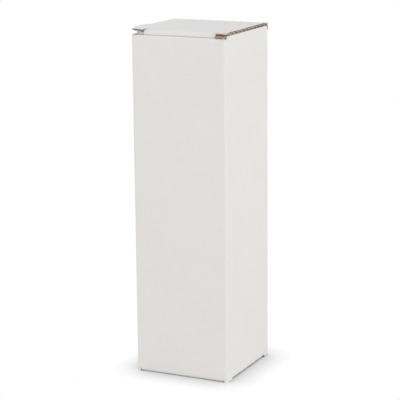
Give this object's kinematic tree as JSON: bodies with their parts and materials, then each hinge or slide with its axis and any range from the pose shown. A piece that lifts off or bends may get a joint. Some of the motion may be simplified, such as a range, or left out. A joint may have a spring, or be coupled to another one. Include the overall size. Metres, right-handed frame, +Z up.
{
  "type": "bottle box",
  "caption": "Tall square corrugated board box for one bottle, with a tuck-in slit-lock lid hinged at the back, dust flaps and an interlocking flap base.",
  "frame": {"origin": "centre of the base, on the surface that the box stands on", "axes": "+Z up the box; -Y out of the front wall that the lid tucks in behind; +X to the right as seen from the front"},
  "size_m": [0.094, 0.094, 0.3217],
  "materials": {
    "white_liner": "matte",
    "brown_liner": "matte",
    "fluting_paper": "matte",
    "glue": "satin"
  },
  "bodies": {
    "box": {"front_outer_liner": "white_liner", "front_fluting": "fluting_paper", "front_inner_liner": "brown_liner", "right_outer_liner": "white_liner", "right_fluting": "fluting_paper", "right_inner_liner": "brown_liner", "back_outer_liner": "white_liner", "back_fluting": "fluting_paper", "back_inner_liner": "brown_liner", "left_outer_liner": "white_liner", "left_fluting": "fluting_paper", "left_inner_liner": "brown_liner", "glue_flap_outer_liner": "white_liner", "glue_flap_fluting": "fluting_paper", "glue_flap_inner_liner": "brown_liner", "seam_glue": "glue", "front_base_outer_liner": "white_liner", "front_base_fluting": "fluting_paper", "front_base_inner_liner": "brown_liner", "right_base_outer_liner": "white_liner", "right_base_fluting": "fluting_paper", "right_base_inner_liner": "brown_liner", "back_base_outer_liner": "white_liner", "back_base_fluting": "fluting_paper", "back_base_inner_liner": "brown_liner", "left_base_outer_liner": "white_liner", "left_base_fluting": "fluting_paper", "left_base_inner_liner": "brown_liner"},
    "lid": {"lid_outer_liner": "white_liner", "lid_fluting": "fluting_paper", "lid_inner_liner": "brown_liner"},
    "tuck_flap": {"tuck_flap_outer_liner": "white_liner", "tuck_flap_fluting": "fluting_paper", "tuck_flap_inner_liner": "brown_liner"},
    "left_dust_flap": {"left_dust_outer_liner": "white_liner", "left_dust_fluting": "fluting_paper", "left_dust_inner_liner": "brown_liner"},
    "right_dust_flap": {"right_dust_outer_liner": "white_liner", "right_dust_fluting": "fluting_paper", "right_dust_inner_liner": "brown_liner"}
  },
  "joints": [
    {"name": "lid_hinge", "type": "hinge", "parent": "box", "child": "lid", "pos_m": [0, 0.0456, 0.3203], "axis": [-1, 0, 0], "range_deg": [0, 190]},
    {"name": "tuck_fold", "type": "hinge", "parent": "lid", "child": "tuck_flap", "pos_m": [0, -0.0397, 0.3182], "axis": [-1, 0, 0], "range_deg": [0, 57.5]},
    {"name": "left_dust_fold", "type": "hinge", "parent": "box", "child": "left_dust_flap", "pos_m": [-0.0435, 0, 0.3141], "axis": [0, 1, 0], "range_deg": [0, 80], "stiffness_Nm_per_rad": 0.004, "springref_deg": -28.65},
    {"name": "right_dust_fold", "type": "hinge", "parent": "box", "child": "right_dust_flap", "pos_m": [0.0435, 0, 0.3141], "axis": [0, -1, 0], "range_deg": [0, 80], "stiffness_Nm_per_rad": 0.004, "springref_deg": -28.65}
  ],
  "couplings": [
    {"joint": "tuck_fold", "follows": "lid_hinge", "ratio": 0.3}
  ]
}
